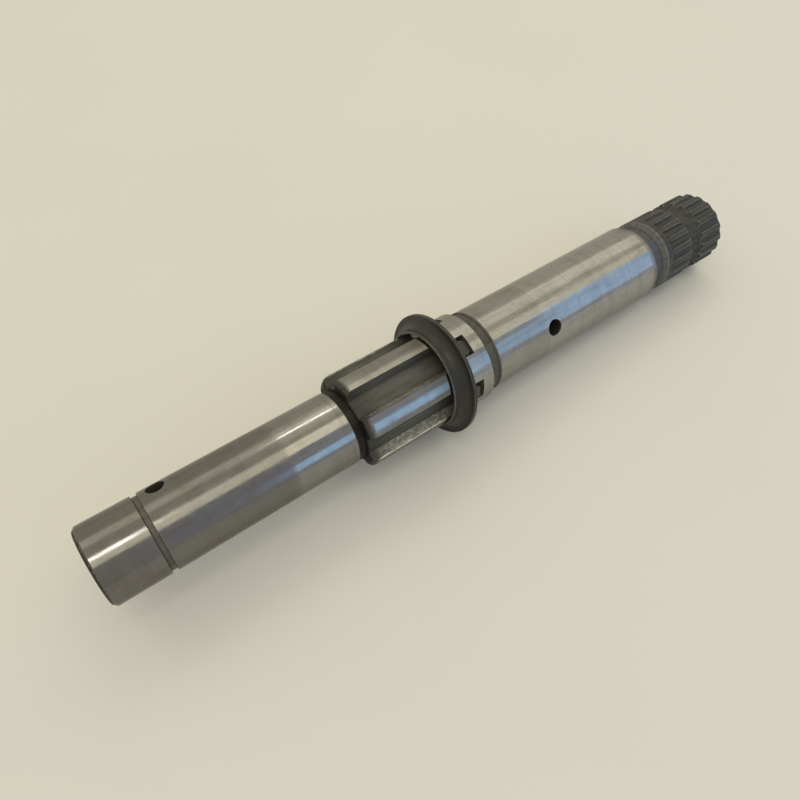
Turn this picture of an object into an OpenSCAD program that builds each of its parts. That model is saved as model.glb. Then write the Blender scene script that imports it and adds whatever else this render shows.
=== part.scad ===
// Kickstart shaft with its loose spring seat, in millimetres.
// The origin is on the shaft's axis at the plain end, +X runs to the lever splines and +Z is up.
// Turns about the axis are measured from +Y towards +Z.

/* [Gear journal] */
// Diameter of the journal that carries the kick gear
gear_journal_d = 18; // [15:0.5:18.5]
// Length of the gear journal, from the plain end to the relief
gear_journal_len = 57.5; // [40:0.5:80]
// Chamfer round the plain end
plain_chamfer = 0.8; // [0.3:0.1:1.5]
// Distance from the plain end to the retaining ring groove
ring_groove_x = 12.2; // [6:0.1:20]
// Width of the retaining ring groove
ring_groove_w = 1.3; // [0.9:0.1:2]
// Depth of the retaining ring groove
ring_groove_depth = 0.5; // [0.3:0.1:0.8]
// Distance from the retaining ring groove to the middle of the oil hole
oil_hole_gap = 3.6; // [2.6:0.1:8]
// Diameter of the oil hole and of the oil passage it meets
oil_hole_d = 4; // [2:0.1:5]
// Turn of the oil hole about the axis
oil_hole_turn = 58; // [0:1:360]
// Length of the relief between the gear journal and the drive splines
relief_len = 2.1; // [1:0.1:4]
// Depth of the relief below the gear journal
relief_depth = 0.2; // [0.1:0.05:0.5]

/* [Drive splines] */
// Number of drive splines
spline_count = 6; // [4:1:7]
// Diameter over the drive splines and the collar
spline_d = 23.5; // [22:0.1:30]
// Length of the drive splines, from the relief to the collar
spline_len = 27.3; // [18:0.1:40]
// Width of one spline tooth
spline_tooth_w = 4.8; // [3:0.1:6]
// Depth of the valleys between the splines
spline_depth = 2.45; // [1.8:0.05:2.6]
// Rounding of the splines' ends at the relief
spline_round = 2; // [0.5:0.1:2.2]
// Turn of the first spline about the axis
spline_turn = 20; // [0:1:60]

/* [Collar] */
// Length of the collar right of the splines
collar_len = 8.4; // [6:0.1:14]
// Length of the notches that carry the valleys on into the collar
notch_len = 5; // [3:0.1:5.5]
// Width of the notches
notch_w = 5.3; // [4:0.1:6]
// Edge break of the collar
collar_chamfer = 0.2; // [0.1:0.05:0.5]
// Width of the groove between the collar and the case journal
collar_groove_w = 2.7; // [1:0.1:5]
// Depth of that groove below the case journal
collar_groove_depth = 0.3; // [0.2:0.1:1.5]

/* [Case journal] */
// Diameter of the journal that turns in the case
case_journal_d = 21.5; // [20.8:0.1:22.8]
// Length of the case journal, from the collar groove to the neck
case_journal_len = 59.6; // [40:0.1:80]
// Chamfer of the case journal at the neck
case_chamfer = 0.8; // [0.3:0.1:1]
// Distance from the collar groove to the middle of the spring hole
spring_hole_gap = 19.2; // [8:0.1:30]
// Diameter of the hole for the return spring's leg
spring_hole_d = 4.3; // [2.5:0.1:6]
// Depth of the spring hole
spring_hole_depth = 9; // [4:0.5:10]
// Turn of the spring hole about the axis
spring_hole_turn = 149; // [0:1:360]

/* [Lever splines] */
// Number of lever spline teeth
lever_count = 18; // [14:1:20]
// Diameter over the lever splines
lever_d = 20.6; // [19.8:0.1:21.2]
// Length of the lever splines, from the stop ring to the end
lever_len = 22.6; // [18:0.1:30]
// Depth of the lever spline valleys
lever_depth = 0.75; // [0.5:0.05:1.1]
// Width of a lever tooth at its top
lever_tooth_w = 1.2; // [0.8:0.05:1.5]
// Slope of the lever teeth's flanks from the radial direction
lever_flank = 38; // [15:1:45]
// Turn of the first lever tooth about the axis
lever_turn = 2; // [0:0.5:20]
// Length of the neck between the case journal and the stop ring
neck_len = 3.6; // [2:0.1:8]
// Depth of the neck below the lever splines
neck_depth = 1.2; // [0.8:0.05:1.6]
// Length of the coned stop ring in front of the lever teeth
stop_len = 3.2; // [2:0.1:5]
// Distance from the stop ring to the middle of the pinch bolt groove
pinch_gap = 11.3; // [6:0.1:13]
// Radius of the pinch bolt that the groove clears
pinch_r = 3.2; // [2.5:0.1:4]
// Depth of the pinch bolt groove
pinch_depth = 1.6; // [1.2:0.05:2]
// Chamfer round the lever end
lever_chamfer = 0.7; // [0.5:0.1:1.5]
// Diameter of the turning centre in the lever end
centre_d = 5; // [3:0.1:7]

/* [Spring seat] */
// Length of the seat's hub, left of its flange
hub_len = 3.3; // [2:0.1:8]
// Wall of the hub
hub_wall = 0.4; // [0.3:0.05:1.5]
// Width of the flange beyond the hub
flange_w = 3.1; // [1.5:0.1:6]
// Thickness of the flange
flange_t = 0.8; // [0.6:0.05:2]
// Fillet between the hub and the flange
seat_fillet = 2.2; // [0.2:0.1:3]
// Lean of the loose seat, its top towards the lever end
seat_lean = 5.5; // [0:0.5:6]
// Clearance of the leaning seat on the splines
seat_play = 0.05; // [0.02:0.01:0.2]
// Distance from the flange to the collar
seat_gap = 0.8; // [0.4:0.1:3]
// Length of the lugs' roots inside the hub
lug_root_len = 1.6; // [1:0.1:2]
// Depth of the lugs' outer faces below the collar's surface
lug_recess = 0.2; // [0.1:0.05:0.6]
// Corner cut at the lugs' tips
lug_corner = 0.8; // [0.2:0.1:1.2]

/* [Hidden] */
$fn = 96;
// Stations along the axis
oil_hole_x = ring_groove_x + ring_groove_w + oil_hole_gap;
spline_x = gear_journal_len + relief_len;
collar_x = spline_x + spline_len;
groove_x = collar_x + collar_len;
case_x = groove_x + collar_groove_w;
spring_hole_x = case_x + spring_hole_gap;
neck_x = case_x + case_journal_len;
stop_x = neck_x + neck_len;
lever_x = stop_x + stop_len;
pinch_x = lever_x + pinch_gap;
shaft_len = lever_x + lever_len;
notch_end_x = collar_x + notch_len;
// Radii
gear_r = gear_journal_d / 2;
ring_groove_r = gear_r - ring_groove_depth;
relief_r = gear_r - relief_depth;
oil_r = oil_hole_d / 2;
spline_r = spline_d / 2;
spline_root_r = spline_r - spline_depth;
case_r = case_journal_d / 2;
collar_groove_r = case_r - collar_groove_depth;
lever_r = lever_d / 2;
lever_root_r = lever_r - lever_depth;
neck_r = lever_r - neck_depth;
centre_r = centre_d / 2;
// Turning centres are cones of 60 degrees
centre_slope = tan(30);
oil_mouth_r = oil_r + plain_chamfer;
// Reach of a cutter past the surface it leaves
cut_over = 1;
spline_pitch = 360 / spline_count;
lever_pitch = 360 / lever_count;
// Seat sizes: the leaning bore just clears the splines at both of its ends
seat_len = hub_len + flange_t;
seat_x = collar_x - seat_gap - seat_len;
bore_r = (spline_r + seat_len / 2 * sin(seat_lean)) / cos(seat_lean) + seat_play;
hub_r = bore_r + hub_wall;
flange_r = hub_r + flange_w;
fillet_r = min(seat_fillet, flange_w, hub_len);
// Lug sizes: the leaning lugs stay clear of the valley floors, the notch sides and the notch ends
lug_reach = notch_end_x - seat_x - seat_len / 2;
lug_sway = lug_reach * sin(seat_lean) + seat_play;
lug_tip = seat_len / 2 + lug_reach - spline_r * sin(seat_lean) - seat_play;
lug_w = notch_w - 2 * lug_sway;
lug_in_r = spline_root_r + lug_sway;
lug_out_r = spline_r - lug_recess;
// The roots end inside the seat's wall, clear of its faces
lug_root_r = bore_r + hub_wall / 3;
lug_root_end = seat_len - flange_t / 2;
lug_root_x = lug_root_end - lug_root_len;
shaft_colour = [0.62, 0.61, 0.58];
seat_colour = [0.16, 0.15, 0.14];

shaft();
spring_seat();

// Stands a shape drawn across or round Z along the shaft's axis, from x onwards
module along_x(x) {
    translate([x, 0, 0])
        rotate([90, 0, 90])
            children();
}

// Turns a shape about the shaft's axis
module turned(angle) {
    rotate([angle, 0, 0])
        children();
}

module shaft() {
    color(shaft_colour)
        difference() {
            shaft_blank();
            spline_valleys();
            collar_notches();
            lever_valleys();
            radial_hole(oil_hole_x, oil_hole_turn, oil_r, 0);
            radial_hole(spring_hole_x, spring_hole_turn, spring_hole_d / 2, case_r - spring_hole_depth);
        }
}

// The turned blank: a half section swept round the axis
module shaft_blank() {
    along_x(0)
        rotate_extrude()
            difference() {
                polygon(concat(gear_outline(), spline_outline(), case_outline(), lever_outline()));
                spline_round_cut();
                pinch_groove_cut();
            }
}

// Half section points are [radius, x]; the plain end holds the oil passage
function gear_outline() = [
    [0, oil_hole_x],
    [oil_r, oil_hole_x],
    [oil_r, (oil_mouth_r - oil_r) / centre_slope],
    [oil_mouth_r, 0],
    [gear_r - plain_chamfer, 0],
    [gear_r, plain_chamfer],
    [gear_r, ring_groove_x],
    [ring_groove_r, ring_groove_x],
    [ring_groove_r, ring_groove_x + ring_groove_w],
    [gear_r, ring_groove_x + ring_groove_w],
    [gear_r, gear_journal_len],
    [relief_r, gear_journal_len],
    [relief_r, spline_x]
];

function spline_outline() = [
    [spline_r, spline_x],
    [spline_r, groove_x - collar_chamfer],
    [spline_r - collar_chamfer, groove_x],
    [collar_groove_r, groove_x],
    [collar_groove_r, case_x]
];

function case_outline() = [
    [case_r - collar_chamfer, case_x],
    [case_r, case_x + collar_chamfer],
    [case_r, neck_x - case_chamfer],
    [case_r - case_chamfer, neck_x],
    [neck_r, neck_x],
    [neck_r, stop_x]
];

function lever_outline() = [
    [lever_r, stop_x + neck_depth],
    [lever_r, shaft_len - lever_chamfer],
    [lever_r - lever_chamfer, shaft_len],
    [centre_r, shaft_len],
    [0, shaft_len - centre_r / centre_slope]
];

// Takes the corner off the splines' ends, leaving a quarter round
module spline_round_cut() {
    translate([spline_r - spline_round, spline_x])
        difference() {
            translate([0, -cut_over])
                square([spline_round + cut_over, spline_round + cut_over]);
            translate([0, spline_round])
                circle(r = spline_round);
        }
}

// Round groove that clears the lever's pinch bolt
module pinch_groove_cut() {
    translate([lever_r - pinch_depth + pinch_r, pinch_x])
        circle(r = pinch_r);
}

// Valleys between the straight sided drive splines
module spline_valleys() {
    for (i = [0 : spline_count - 1])
        turned(spline_turn + (i + 0.5) * spline_pitch)
            along_x(gear_journal_len)
                linear_extrude(collar_x - gear_journal_len)
                    above_floor()
                        polygon(valley_outline());
}

// Keeps what lies outside the round floor of the valleys
module above_floor() {
    difference() {
        children();
        circle(r = spline_root_r);
    }
}

// A valley has the facing flanks of two neighbouring teeth as its sides
function flank_point(reach, side) = [
    reach * cos(spline_pitch / 2) + spline_tooth_w / 2 * sin(spline_pitch / 2),
    side * (reach * sin(spline_pitch / 2) - spline_tooth_w / 2 * cos(spline_pitch / 2))
];

function valley_outline() = [
    flank_point(spline_tooth_w / 2, -1),
    flank_point(spline_d, -1),
    flank_point(spline_d, 1),
    flank_point(spline_tooth_w / 2, 1)
];

// Square ended notches that carry the valleys on into the collar
module collar_notches() {
    for (i = [0 : spline_count - 1])
        turned(spline_turn + (i + 0.5) * spline_pitch)
            along_x(collar_x - cut_over)
                linear_extrude(notch_len + cut_over)
                    above_floor()
                        translate([0, -notch_w / 2])
                            square([spline_d, notch_w]);
}

// Valleys of the lever splines, open at the lever end
module lever_valleys() {
    for (i = [0 : lever_count - 1])
        turned(lever_turn + (i + 0.5) * lever_pitch)
            along_x(lever_x)
                linear_extrude(lever_len + cut_over)
                    polygon(lever_valley_outline());
}

// Half width of a lever valley at a given radius
function lever_valley_half(r) =
    lever_r * sin(lever_pitch / 2) - lever_tooth_w / 2 + (r - lever_r) * tan(lever_flank);

function lever_valley_outline() = [
    [lever_root_r, -lever_valley_half(lever_root_r)],
    [lever_r + cut_over, -lever_valley_half(lever_r + cut_over)],
    [lever_r + cut_over, lever_valley_half(lever_r + cut_over)],
    [lever_root_r, lever_valley_half(lever_root_r)]
];

// Radial hole from a given depth out through the surface
module radial_hole(x, turn, r, from_r) {
    translate([x, 0, 0])
        turned(turn)
            translate([0, from_r, 0])
                rotate([-90, 0, 0])
                    cylinder(r = r, h = spline_r - from_r);
}

// The seat leans about its own middle
module spring_seat() {
    color(seat_colour)
        translate([seat_x + seat_len / 2, 0, 0])
            rotate([0, seat_lean, 0])
                translate([-seat_len / 2, 0, 0])
                    square_seat();
}

// The seat square to its own axis, its hub's end at the origin
module square_seat() {
    along_x(0)
        rotate_extrude()
            seat_section();
    for (i = [0 : spline_count - 1])
        turned(spline_turn + (i + 0.5) * spline_pitch)
            lug();
}

// Half section of the seat: hub and flange in one outline, with a fillet between them
module seat_section() {
    polygon(seat_outline());
    translate([hub_r, hub_len - fillet_r])
        difference() {
            square(fillet_r);
            translate([fillet_r, 0])
                circle(r = fillet_r);
        }
}

function seat_outline() = [
    [bore_r, 0],
    [hub_r, 0],
    [hub_r, hub_len],
    [flange_r, hub_len],
    [flange_r, seat_len],
    [bore_r, seat_len]
];

// One lug: a root inside the hub's wall and a tongue that lies in a collar notch
module lug() {
    intersection() {
        translate([0, 0, -lug_w])
            linear_extrude(2 * lug_w)
                polygon(lug_side());
        rotate([-90, 0, 0])
            linear_extrude(flange_r)
                polygon(lug_plan());
    }
}

// Lug from the side, as [x, radius]: its root stands higher than its tongue
function lug_side() = [
    [lug_root_x - cut_over, lug_in_r],
    [lug_tip + cut_over, lug_in_r],
    [lug_tip + cut_over, lug_out_r],
    [lug_root_end, lug_out_r],
    [lug_root_end, lug_root_r],
    [lug_root_x - cut_over, lug_root_r]
];

// Lug from above, as [x, width]: the corners of its tip are cut
function lug_plan() = [
    [lug_root_x, -lug_w / 2],
    [lug_tip - lug_corner, -lug_w / 2],
    [lug_tip, lug_corner - lug_w / 2],
    [lug_tip, lug_w / 2 - lug_corner],
    [lug_tip - lug_corner, lug_w / 2],
    [lug_root_x, lug_w / 2]
];
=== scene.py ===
"""Looks, light and camera of the kickstart shaft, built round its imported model."""

import math
from collections import namedtuple

import bpy
from mathutils import Matrix, Vector

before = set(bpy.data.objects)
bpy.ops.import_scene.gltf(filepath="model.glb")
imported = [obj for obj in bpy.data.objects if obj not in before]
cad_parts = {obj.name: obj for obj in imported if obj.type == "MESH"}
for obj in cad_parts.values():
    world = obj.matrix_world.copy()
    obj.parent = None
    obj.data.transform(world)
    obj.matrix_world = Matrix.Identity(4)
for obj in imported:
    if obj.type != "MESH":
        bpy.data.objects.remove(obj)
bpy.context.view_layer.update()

# Sizes in millimetres, as in the part's source
GEAR_R = 9.0
LAND_R = 11.75
CASE_R = 10.75
SHAFT_LEN = 187.0
RING_GROOVE_X = 12.2
GEAR_END_X = 57.5
SPLINE_X = 59.6
COLLAR_X = 86.9
COLLAR_GROOVE_X = 95.3
CASE_X = 98.0
CASE_CHAMFER_X = 156.8
CASE_END_X = 157.6
STOP_X = 161.2
STOP_RIM_X = 162.6
LEVER_X = 164.4
SEAT_MIDDLE_X = 84.05
SEAT_LEN = 4.1
SEAT_LEAN = 5.5
SEAT_BORE_R = 12.05
# Stands for a radius that no face reaches, where nothing is ground
NOT_GROUND_R = 99.0
# A face is ground down to the first depth below its zone's radius, and not at all from the second on
GROUND_DEPTH = 0.07
ROUGH_DEPTH = 0.4

# Colours of wear and dirt, and of painted shade: grime with painted shade in corners, and oil with painted
# shade by the seat
STAIN = (0.03, 0.027, 0.022)
OIL_AND_SEAT_SHADE = (0.014, 0.013, 0.011)
GRIME_AND_SHADE = (0.022, 0.019, 0.016)
RUBBED_FLANK = (0.34, 0.33, 0.295)
WORN_EDGE = (0.42, 0.42, 0.42)
# Black oxide of the seat, and what lies on it; the bore's pale colour is painted light in its shade
SEAT_OXIDE = ((0.024, 0.023, 0.0225), (0.036, 0.0345, 0.033))
SEAT_BORE_PAINTED_LIGHT = (0.45, 0.43, 0.40)
SEAT_LUG_COLOUR = (0.05, 0.044, 0.042)
SEAT_WORN_EDGE = (0.26, 0.25, 0.235)
FLOOR_COLOURS = ((0.68, 0.667, 0.653), (0.72, 0.707, 0.693))
# Depth of tool marks and scratches, in metres
MARK_DEPTH = 0.000002
# Specular levels of the faces that are not bare metal
SHAFT_SPECULAR = 0.3
SEAT_SPECULAR = 0.35
# Dirt and oxide let this much of the bare metal through
DIRT_METAL = 0.25
# Share of light that the steel mirrors at a glancing angle, where an oil film dulls it
EDGE_TINT = (0.75, 0.74, 0.72)

# The gear has run up to here, and the finish changes there
GEAR_RUN_END_X = 42.5
# The case bush has polished the journal from here, up to a duller ring at its end
BUSH_RUN_X = 115.0
CASE_RING_X = 155.6
# Faint rings that the turning tool and the seals have left
FINISH_LINES_X = (56.4, 115.0, 127.0, 146.5)
FINISH_LINE_HALF = 0.09

# The shaft lies on the seat's rim and the lever end, so the floor slopes in the shaft's frame
FLOOR_SLOPE = 3.03
FLOOR_SIZE = 8.0

# Camera of the photo, in metres, level with the floor
CAMERA_AT = Vector((0.01261, -0.07455, 0.12557))
CAMERA_AIM = Vector((0.07975, 0.00489, -0.01142))
CAMERA_LENS = 29.78
CAMERA_SENSOR = 36.0
CAMERA_CLIP = 0.005


class Graph:
    """A shader's node tree, with short calls for the nodes that are used here."""

    def __init__(self, tree):
        self.tree = tree

    def node(self, kind, inputs=None, **settings):
        made = self.tree.nodes.new(kind)
        for key, value in settings.items():
            setattr(made, key, value)
        for key, value in (inputs or {}).items():
            self.put(made.inputs[key], value)
        return made

    def put(self, socket, value):
        if isinstance(value, bpy.types.NodeSocket):
            self.tree.links.new(value, socket)
        else:
            socket.default_value = value

    def math(self, operation, a, b=0.0):
        return self.node("ShaderNodeMath", {0: a, 1: b}, operation=operation).outputs[0]

    def vector_math(self, operation, a, b, output="Vector"):
        made = self.node("ShaderNodeVectorMath", {0: a, 1: b}, operation=operation)
        return made.outputs[output]

    def step(self, value, low, high, to_low=0.0, to_high=1.0):
        """Runs smoothly from to_low at low to to_high at high."""
        inputs = {"Value": value, "From Min": low, "From Max": high, "To Min": to_low, "To Max": to_high}
        made = self.node("ShaderNodeMapRange", inputs, interpolation_type="SMOOTHSTEP")
        return made.outputs["Result"]

    def between(self, value, low, high, soft):
        """1 from low to high, with soft edges."""
        rise = self.step(value, low - soft, low + soft)
        fall = self.step(value, high + soft, high - soft)
        return self.math("MULTIPLY", rise, fall)

    def mix(self, share, a, b):
        made = self.node("ShaderNodeMix", {"Factor": share, "A": a, "B": b}, data_type="FLOAT")
        return made.outputs["Result"]

    def blend(self, share, a, b):
        """Mixes two colours; a Mix node's colour sockets are its seventh and eighth."""
        made = self.node("ShaderNodeMix", {0: share, 6: a, 7: b}, data_type="RGBA")
        return made.outputs[2]

    def noise(self, point, scale, detail=3.0, roughness=0.55):
        """Noise with its own scale along each axis, in waves per millimetre."""
        stretched = self.vector_math("MULTIPLY", point, scale)
        inputs = {"Vector": stretched, "Scale": 1.0, "Detail": detail, "Roughness": roughness}
        return self.node("ShaderNodeTexNoise", inputs).outputs[0]

    def ramp(self, position, stops, interpolation):
        """Colours by position from 0 to 1."""
        made = self.node("ShaderNodeValToRGB", {"Fac": position})
        ramp = made.color_ramp
        ramp.interpolation = interpolation
        while len(ramp.elements) < len(stops):
            ramp.elements.new(1.0)
        for element, (start, colour) in zip(ramp.elements, stops):
            element.position = start
            element.color = rgba(colour)
        return made.outputs["Color"]

    def outer_edges(self, reach_mm):
        """1 along outer edges, found by looking inwards for a second face within reach."""
        inputs = {"Distance": reach_mm / 1000}
        made = self.node("ShaderNodeAmbientOcclusion", inputs, inside=True, only_local=True, samples=8)
        return self.step(made.outputs["AO"], 0.95, 0.65)

    def inner_corners(self, reach_mm):
        """1 deep in corners, grooves and holes, where shade falls."""
        inputs = {"Distance": reach_mm / 1000}
        made = self.node("ShaderNodeAmbientOcclusion", inputs, samples=8)
        return self.step(made.outputs["AO"], 0.75, 0.25)


def new_material(name):
    """A material, the graph of its nodes and its shader."""
    material = bpy.data.materials.new(name)
    material.use_nodes = True
    return material, Graph(material.node_tree), material.node_tree.nodes["Principled BSDF"]


def rgba(colour):
    return (*colour, 1.0)


def point_in_mm(graph):
    """The shaded point in the part's frame, in millimetres."""
    position = graph.node("ShaderNodeTexCoord").outputs["Object"]
    return graph.vector_math("MULTIPLY", position, (1000.0, 1000.0, 1000.0))


class ShaftPlace:
    """Where a shaded point lies on the shaft: its station along the axis and its radius."""

    def __init__(self, graph):
        self.graph = graph
        self.point = point_in_mm(graph)
        self.station = graph.node("ShaderNodeSeparateXYZ", {0: self.point}).outputs["X"]
        self.across = graph.vector_math("MULTIPLY", self.point, (0.0, 1.0, 1.0))
        self.radius = graph.vector_math("LENGTH", self.across, self.across, "Value")

    def colours(self, stops, interpolation="CONSTANT", fray=0.0):
        """Colours by station, their borders frayed by up to about this many millimetres."""
        uneven = self.graph.noise(self.point, (0.35, 0.5, 0.5), detail=4.0)
        offset = self.graph.math("MULTIPLY", self.graph.math("SUBTRACT", uneven, 0.5), 4.0 * fray)
        station = self.graph.math("ADD", self.station, offset) if fray else self.station
        position = self.graph.math("DIVIDE", station, SHAFT_LEN)
        return self.graph.ramp(position, [(x / SHAFT_LEN, colour) for x, colour in stops], interpolation)

    def values(self, stops, largest=1.0, **settings):
        """Values by station, carried as shares of the largest one."""
        greys = [(x, (value / largest,) * 3) for x, value in stops]
        return self.graph.math("MULTIPLY", self.colours(greys, **settings), largest)


# Shaft: ground faces are bright, all that the grinding wheel missed is dark

def ground_faces(graph, place):
    """1 on the ground faces, which are the largest radius in their zone."""
    zones = [
        (0.0, GEAR_R),
        (GEAR_END_X, LAND_R),
        (COLLAR_GROOVE_X, NOT_GROUND_R),
        (CASE_X, CASE_R),
        (CASE_CHAMFER_X - 0.1, CASE_R - 0.7),
        (CASE_END_X, NOT_GROUND_R),
    ]
    depth = graph.math("SUBTRACT", place.values(zones, largest=NOT_GROUND_R), place.radius)
    fray = graph.noise(place.point, (0.6, 0.9, 0.9), detail=5.0)
    depth = graph.math("MULTIPLY", depth, graph.step(fray, 0.3, 0.7, 0.5, 1.5))
    return graph.step(depth, ROUGH_DEPTH, GROUND_DEPTH)


def ground_steel(graph, place):
    """Colour of the ground faces: dull where the gear has run, streaky and smudged all over, with painted
    shade on the lands next to the seat.
    """
    oily = (0.04, 0.036, 0.03)
    seat_shade_on_lands = (0.15, 0.14, 0.125)
    dull = (0.20, 0.195, 0.193)
    dull_ring = (0.24, 0.225, 0.245)
    bright = (0.275, 0.272, 0.27)
    clean = (0.34, 0.335, 0.332)
    polished = (0.38, 0.377, 0.378)
    streak_dirt = (0.16, 0.145, 0.12)
    grain_dirt = (0.12, 0.11, 0.095)
    patch_stain = (0.13, 0.105, 0.08)
    line_dirt = (0.1, 0.09, 0.08)
    steel = place.colours(
        [
            (0.0, dull),
            (GEAR_RUN_END_X - 0.6, dull),
            (GEAR_RUN_END_X + 0.6, bright),
            (GEAR_END_X, bright),
            (SPLINE_X, oily),
            (SPLINE_X + 0.5, oily),
            (SPLINE_X + 1.6, bright),
            (COLLAR_X - 10.0, bright),
            # Painted shade and painted dark reflection: the lands darken towards the seat, standing in for
            # its shadow
            (COLLAR_X - 5.0, seat_shade_on_lands),
            (COLLAR_X, polished),
            (CASE_X, clean),
            (BUSH_RUN_X - 0.5, clean),
            (BUSH_RUN_X + 0.5, polished),
            (CASE_RING_X - 0.2, polished),
            (CASE_RING_X + 0.2, dull_ring),
        ],
        interpolation="LINEAR",
        fray=0.35,
    )
    streaks = graph.noise(place.point, (0.05, 1.8, 1.8), detail=4.0)
    steel = graph.blend(graph.step(streaks, 0.5, 0.75, 0.0, 0.22), steel, rgba(streak_dirt))
    grain = graph.noise(place.point, (0.6, 1.5, 1.5), detail=3.0, roughness=0.7)
    steel = graph.blend(graph.step(grain, 0.45, 0.7, 0.0, 0.16), steel, rgba(grain_dirt))
    patches = graph.noise(place.point, (0.10, 0.30, 0.30), detail=6.0, roughness=0.62)
    steel = graph.blend(graph.step(patches, 0.5, 0.72, 0.0, 0.28), steel, rgba(patch_stain))
    rings = graph.noise(place.point, (0.40, 0.03, 0.03), detail=3.0, roughness=0.6)
    steel = graph.blend(graph.step(rings, 0.45, 0.65, 0.0, 0.14), steel, rgba(grain_dirt))
    lines = finish_lines(graph, place)
    return graph.blend(graph.math("MULTIPLY", lines, 0.4), steel, rgba(line_dirt))


def finish_lines(graph, place):
    """1 on faint rings round the ground faces, broken by patches where they have worn off."""
    lines = 0.0
    for x in FINISH_LINES_X:
        line = graph.between(place.station, x - FINISH_LINE_HALF, x + FINISH_LINE_HALF, FINISH_LINE_HALF)
        lines = graph.math("ADD", line, lines)
    worn = graph.noise(place.point, (0.02, 0.25, 0.25), detail=2.0)
    return graph.math("MULTIPLY", lines, graph.step(worn, 0.35, 0.6))


def driven_flanks(graph, place):
    """1 on the spline flanks that take the load: their normals point against the turn about X."""
    normal = graph.node("ShaderNodeTexCoord").outputs["Normal"]
    forwards = graph.vector_math("CROSS_PRODUCT", (1.0, 0.0, 0.0), place.across)
    forwards = graph.vector_math("NORMALIZE", forwards, forwards)
    facing = graph.vector_math("DOT_PRODUCT", normal, forwards, "Value")
    on_splines = graph.between(place.station, SPLINE_X + 2.0, COLLAR_X, 0.8)
    return graph.math("MULTIPLY", graph.step(facing, -0.6, -0.85), on_splines)


def oxide_colours(place):
    """Oxide, oil and dirt by station, on the faces that were not ground, with painted light in the collar's
    notches.
    """
    return place.colours(
        [
            (0.0, (0.05, 0.045, 0.04)),
            (RING_GROOVE_X - 0.2, (0.05, 0.045, 0.038)),
            (RING_GROOVE_X + 0.2, (0.135, 0.127, 0.112)),
            (RING_GROOVE_X + 1.1, (0.05, 0.045, 0.038)),
            (RING_GROOVE_X + 1.5, (0.05, 0.045, 0.04)),
            (GEAR_END_X, (0.014, 0.012, 0.011)),
            (SPLINE_X, (0.106, 0.105, 0.098)),
            # Painted light: the collar's notch walls and floors keep a brown oxide but are made paler
            # against the shade they lie in
            (COLLAR_X, (0.20, 0.175, 0.16)),
            (COLLAR_GROOVE_X - 0.4, (0.1, 0.095, 0.087)),
            (CASE_X + 0.1, (0.05, 0.045, 0.04)),
            (CASE_CHAMFER_X, (0.098, 0.098, 0.112)),
            (STOP_X, (0.15, 0.147, 0.152)),
            (STOP_RIM_X, (0.065, 0.064, 0.066)),
            (LEVER_X, (0.064, 0.0645, 0.067)),
        ]
    )


def oiled_and_seat_shaded_ends(graph, place):
    """1 at both ends of the drive splines: oil that has collected there, and painted shade next to and
    under the seat.
    """
    clean = graph.between(place.station, SPLINE_X + 4.0, COLLAR_X - 9.0, 3.5)
    on_splines = graph.between(place.station, SPLINE_X, COLLAR_X, 0.1)
    return graph.math("MULTIPLY", on_splines, graph.math("SUBTRACT", 1.0, clean))


def rough_steel(graph, place):
    """Colour of the faces that were not ground, stained, and worn bright on the edges."""
    oxide = oxide_colours(place)
    stains = graph.noise(place.point, (0.10, 0.9, 0.9), detail=6.0)
    oxide = graph.blend(graph.step(stains, 0.42, 0.7, 0.0, 0.45), oxide, rgba(STAIN))
    speckle = graph.noise(place.point, (0.9, 1.4, 1.4), detail=6.0, roughness=0.7)
    rubbed = graph.math("MULTIPLY", driven_flanks(graph, place), graph.step(speckle, 0.42, 0.62, 0.25, 1.0))
    oxide = graph.blend(rubbed, oxide, rgba(RUBBED_FLANK))
    # Oil with painted shade: the spline valleys also darken next to and under the seat
    oil_and_shade = graph.math("MULTIPLY", oiled_and_seat_shaded_ends(graph, place), 0.5)
    oxide = graph.blend(oil_and_shade, oxide, rgba(OIL_AND_SEAT_SHADE))
    spotty = graph.step(speckle, 0.35, 0.6, 0.35, 1.0)
    wear = graph.math("MULTIPLY", graph.outer_edges(reach_mm=0.25), spotty)
    wear = graph.math("MULTIPLY", wear, edge_wear(place))
    return graph.blend(wear, oxide, rgba(WORN_EDGE))


def edge_wear(place):
    """How far outer edges are worn bright, by station: least in the oil, most on the lever's splines."""
    return place.values(
        [
            (0.0, 0.5),
            (GEAR_END_X, 0.05),
            (SPLINE_X + 3.0, 0.3),
            (COLLAR_X, 0.3),
            (STOP_X - 0.3, 0.9),
            (STOP_RIM_X, 0.15),
            (LEVER_X + 0.9, 0.9),
        ]
    )


def ground_polish(place):
    """Roughness of the ground faces."""
    return place.values(
        [
            (0.0, 0.15),
            (GEAR_RUN_END_X - 0.6, 0.20),
            (GEAR_RUN_END_X + 0.6, 0.11),
            (SPLINE_X, 0.15),
            (CASE_X, 0.125),
            (CASE_RING_X - 0.2, 0.14),
            (CASE_RING_X + 0.2, 0.4),
        ],
        interpolation="LINEAR",
        fray=0.35,
    )


def fine_scratches(graph, place):
    """Normal with the grinding marks round the shaft and scratches along it."""
    grind = graph.noise(place.point, (7.0, 0.10, 0.10), detail=2.0)
    scratches = graph.noise(place.point, (0.12, 5.0, 5.0), detail=2.0)
    height = graph.math("ADD", grind, scratches)
    bump = graph.node("ShaderNodeBump", {"Height": height, "Strength": 0.25, "Distance": MARK_DEPTH})
    return bump.outputs["Normal"]


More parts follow.
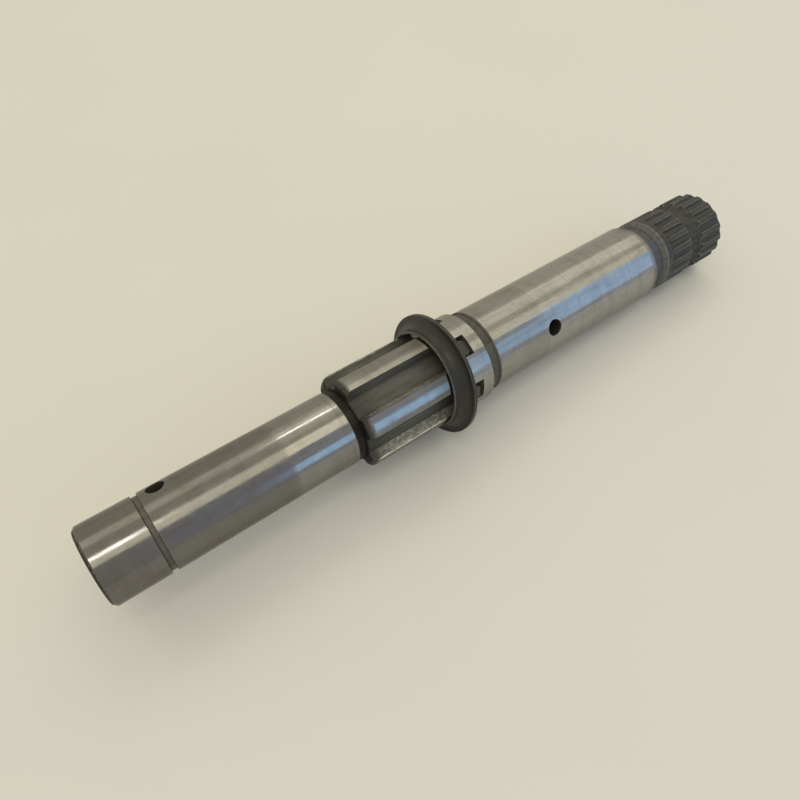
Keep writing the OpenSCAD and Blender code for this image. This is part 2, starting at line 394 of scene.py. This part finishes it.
def shaft_material():
    """Steel, ground or dark by place, with grime and painted shade in its corners."""
    material, graph, shader = new_material("shaft_steel")
    place = ShaftPlace(graph)
    ground = ground_faces(graph, place)
    # Painted shade: corners, grooves and holes are darkened by how enclosed they are, as grime and shade
    # together
    corner_grime_and_shade = graph.math("MULTIPLY", graph.inner_corners(reach_mm=0.9), 0.4)
    colour = graph.blend(ground, rough_steel(graph, place), ground_steel(graph, place))
    mottle = graph.noise(place.point, (0.3, 0.7, 0.7), detail=5.0)
    polish = graph.math("MULTIPLY", ground_polish(place), graph.step(mottle, 0.3, 0.7, 0.7, 1.35))
    matt = graph.step(mottle, 0.3, 0.7, 0.46, 0.62)
    graph.put(shader.inputs["Base Color"], graph.blend(corner_grime_and_shade, colour, rgba(GRIME_AND_SHADE)))
    graph.put(shader.inputs["Roughness"], graph.mix(ground, matt, polish))
    graph.put(shader.inputs["Normal"], fine_scratches(graph, place))
    graph.put(shader.inputs["Metallic"], graph.mix(ground, DIRT_METAL, 1.0))
    shader.inputs["Specular IOR Level"].default_value = SHAFT_SPECULAR
    shader.inputs["Specular Tint"].default_value = rgba(EDGE_TINT)
    return material


# Spring seat: black oxide, rubbed bright along its edges

def seat_point(graph):
    """Point in the leaning seat's own frame, from its hub's end."""
    centred = graph.vector_math("SUBTRACT", point_in_mm(graph), (SEAT_MIDDLE_X, 0.0, 0.0))
    inputs = {"Vector": centred, "Angle": -math.radians(SEAT_LEAN)}
    upright = graph.node("ShaderNodeVectorRotate", inputs, rotation_type="Y_AXIS").outputs[0]
    return graph.vector_math("ADD", upright, (SEAT_LEN / 2, 0.0, 0.0))


def seat_colour(graph, point, mottle):
    """Black oxide, browner on the lugs, paler in the bore as painted light against its shade, and rubbed on
    the edges.
    """
    station = graph.node("ShaderNodeSeparateXYZ", {0: point}).outputs["X"]
    across = graph.vector_math("MULTIPLY", point, (0.0, 1.0, 1.0))
    radius = graph.vector_math("LENGTH", across, across, "Value")
    oxide = graph.blend(mottle, rgba(SEAT_OXIDE[0]), rgba(SEAT_OXIDE[1]))
    # Painted light: the seat's bore is made pale so that its shaded gap does not render black
    bore_painted_light = graph.step(radius, SEAT_BORE_R + 0.1, SEAT_BORE_R)
    oxide = graph.blend(bore_painted_light, oxide, rgba(SEAT_BORE_PAINTED_LIGHT))
    lugs = graph.step(station, SEAT_LEN, SEAT_LEN + 0.5)
    oxide = graph.blend(lugs, oxide, rgba(SEAT_LUG_COLOUR))
    rubbed = graph.step(mottle, 0.3, 0.6, 0.4, 1.0)
    rubbed = graph.math("MULTIPLY", rubbed, graph.step(station, 0.6, 0.2, 0.3, 0.9))
    wear = graph.math("MULTIPLY", graph.outer_edges(reach_mm=0.2), rubbed)
    return graph.blend(wear, oxide, rgba(SEAT_WORN_EDGE))


def seat_material():
    """Black oxide with faint turning marks."""
    material, graph, shader = new_material("seat_black_oxide")
    point = seat_point(graph)
    mottle = graph.noise(point, (0.5, 0.5, 0.5), detail=5.0)
    graph.put(shader.inputs["Base Color"], seat_colour(graph, point, mottle))
    graph.put(shader.inputs["Roughness"], graph.step(mottle, 0.3, 0.7, 0.3, 0.42))
    turning = graph.noise(point, (6.0, 0.5, 0.5), detail=3.0)
    bump = graph.node("ShaderNodeBump", {"Height": turning, "Strength": 0.2, "Distance": MARK_DEPTH})
    graph.put(shader.inputs["Normal"], bump.outputs["Normal"])
    shader.inputs["Specular IOR Level"].default_value = SEAT_SPECULAR
    return material


# Stage: floor, light and camera

def floor_normal():
    """The floor's upward direction in the shaft's frame."""
    slope = math.radians(FLOOR_SLOPE)
    return Vector((-math.sin(slope), 0.0, math.cos(slope)))


def floor_material():
    """Plain cream, very faintly clouded."""
    material, graph, shader = new_material("floor_cream")
    point = point_in_mm(graph)
    cloud = graph.noise(point, (0.012, 0.012, 0.012), detail=4.0)
    colour = graph.blend(cloud, rgba(FLOOR_COLOURS[0]), rgba(FLOOR_COLOURS[1]))
    graph.put(shader.inputs["Base Color"], colour)
    shader.inputs["Roughness"].default_value = 0.6
    return material


def add_floor():
    """A wide plain floor just under the lowest points of the lying shaft."""
    normal = floor_normal()
    vertices = [v.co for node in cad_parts.values() for v in node.data.vertices]
    height = min(normal.dot(co) for co in vertices)
    across = Vector((0.0, 1.0, 0.0))
    along = across.cross(normal)
    half = FLOOR_SIZE / 2
    corners = [
        normal * height + along * sx * half + across * sy * half
        for sx, sy in ((-1, -1), (1, -1), (1, 1), (-1, 1))
    ]
    mesh = bpy.data.meshes.new("floor")
    mesh.from_pydata(corners, [], [(0, 1, 2, 3)])
    mesh.materials.append(floor_material())
    floor = bpy.data.objects.new("floor", mesh)
    bpy.context.scene.collection.objects.link(floor)


def warm(level):
    """A warm white of this level."""
    return (level, 0.945 * level, 0.73 * level)


# Colour of the plain room, which is seen behind the floor and lights all sides
ROOM_COLOUR = (0.56, 0.545, 0.48)

# Softboxes round the shaft: metres along X, degrees about it from the near horizon over the top,
# and the light that each adds to the room's
Softbox = namedtuple("Softbox", "along turns colour")
SOFTBOX_R = 1.2
SOFTBOXES = {
    "ceiling": Softbox((-2.5, 2.5), (58, 140), (0.21, 0.185, 0.085)),
    "far_wall": Softbox((-2.5, 2.5), (140, 178), (0.12, 0.10, 0.02)),
    "near_wall": Softbox((0.00, 2.5), (3, 58), (0.0, 0.015, 0.10)),
    "near_ceiling": Softbox((-0.60, 0.65), (58.8, 84), warm(1.15)),
    "collar_ceiling": Softbox((0.65, 1.03), (57.5, 80), warm(0.46)),
    "lever_ceiling": Softbox((1.03, 2.00), (61.5, 80), warm(0.30)),
    "back_ceiling": Softbox((-0.60, 0.65), (113, 134), warm(0.55)),
    "middle_ceiling": Softbox((0.28, 0.54), (98, 150), warm(0.25)),
    "back_lever_ceiling": Softbox((0.65, 2.00), (97, 130), warm(0.45)),
    "spline_window": Softbox((0.29, 0.74), (8.5, 27), (0.32, 0.74, 1.18)),
    "collar_window": Softbox((0.74, 1.03), (14, 45), (0.07, 0.31, 0.53)),
    "lever_window": Softbox((1.03, 2.00), (13, 61), (0.12, 0.35, 0.63)),
    "end_lamp": Softbox((-0.10, -0.01), (75.5, 83.4), (8.2, 8.0, 7.4)),
    "middle_lamp": Softbox((0.305, 0.44), (117.5, 121.1), (5.0, 4.85, 4.5)),
    "collar_lamp": Softbox((0.743, 0.83), (111.3, 115.7), (5.3, 5.1, 4.8)),
}


def add_world():
    """A plain room of one colour."""
    world = bpy.data.worlds.new("room")
    world.use_nodes = True
    world.node_tree.nodes["Background"].inputs["Color"].default_value = rgba(ROOM_COLOUR)
    bpy.context.scene.world = world


def add_softbox(name, box):
    """A panel that faces the shaft's axis and shows its colour in mirroring faces."""
    middle = math.radians(sum(box.turns) / 2)
    half_turn = math.radians(box.turns[1] - box.turns[0]) / 2
    along = Vector((1.0, 0.0, 0.0))
    outwards = Vector((0.0, -math.cos(middle), math.sin(middle)))
    level = max(box.colour)
    lamp = bpy.data.lights.new(name, "AREA")
    lamp.shape = "RECTANGLE"
    lamp.size = box.along[1] - box.along[0]
    lamp.size_y = 2 * SOFTBOX_R * math.tan(half_turn)
    lamp.energy = math.pi * lamp.size * lamp.size_y * level
    lamp.color = [part / level for part in box.colour]
    light = bpy.data.objects.new(name, lamp)
    turn = Matrix((along, outwards.cross(along), outwards)).transposed().to_4x4()
    centre = along * sum(box.along) / 2 + outwards * SOFTBOX_R
    light.matrix_world = Matrix.Translation(centre) @ turn
    light.visible_camera = False
    bpy.context.scene.collection.objects.link(light)


def add_camera():
    """Looks from the photo's place, its picture level with the floor."""
    back = (CAMERA_AT - CAMERA_AIM).normalized()
    right = floor_normal().cross(back).normalized()
    up = back.cross(right)
    data = bpy.data.cameras.new("camera")
    data.lens = CAMERA_LENS
    data.sensor_width = CAMERA_SENSOR
    data.clip_start = CAMERA_CLIP
    camera = bpy.data.objects.new("camera", data)
    turn = Matrix((right, up, back)).transposed().to_4x4()
    camera.matrix_world = Matrix.Translation(CAMERA_AT) @ turn
    bpy.context.scene.collection.objects.link(camera)
    bpy.context.scene.camera = camera


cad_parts["shaft"].material_slots[0].material = shaft_material()
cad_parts["spring_seat"].material_slots[0].material = seat_material()
add_floor()
add_world()
for softbox_name, softbox in SOFTBOXES.items():
    add_softbox(softbox_name, softbox)
add_camera()
bpy.context.scene.view_settings.view_transform = "Standard"
